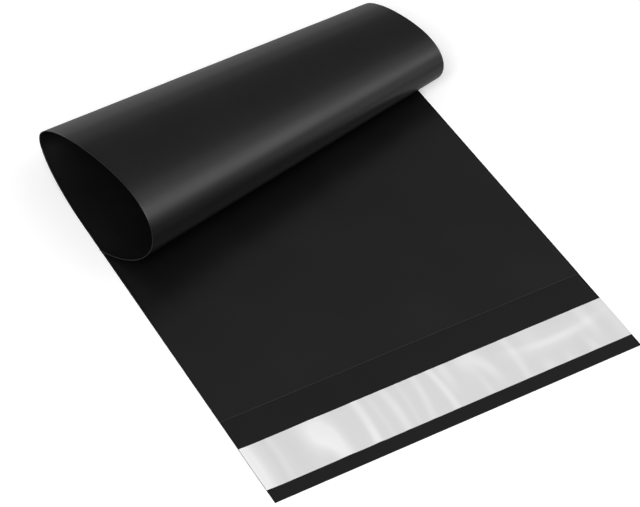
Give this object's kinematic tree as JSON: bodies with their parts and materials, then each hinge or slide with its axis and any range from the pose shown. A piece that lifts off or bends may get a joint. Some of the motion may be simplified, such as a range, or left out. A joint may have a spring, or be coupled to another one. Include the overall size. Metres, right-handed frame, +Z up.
{
  "type": "poly mailer bag",
  "caption": "Plain poly mailer bag lying face up, flap open with a peel-off liner over its glue stripe, its bottom end curled back over the front in a loose tapered roll.",
  "frame": {"origin": "on the underside, midway across the bag at the mouth", "axes": "+X across the bag to its right-hand edge, +Y from the mouth towards the rolled bottom end, +Z up from the surface the bag lies on"},
  "size_m": [0.1796, 0.231, 0.038],
  "materials": {
    "black_film": "satin black polyethylene film",
    "hot_melt_glue": "clear tacky hot-melt glue",
    "liner_film": "glossy white release film, slightly rippled"
  },
  "bodies": {
    "root": {"film_bag": "black_film", "glue_strip": "hot_melt_glue", "release_liner": "liner_film"}
  },
  "joints": []
}
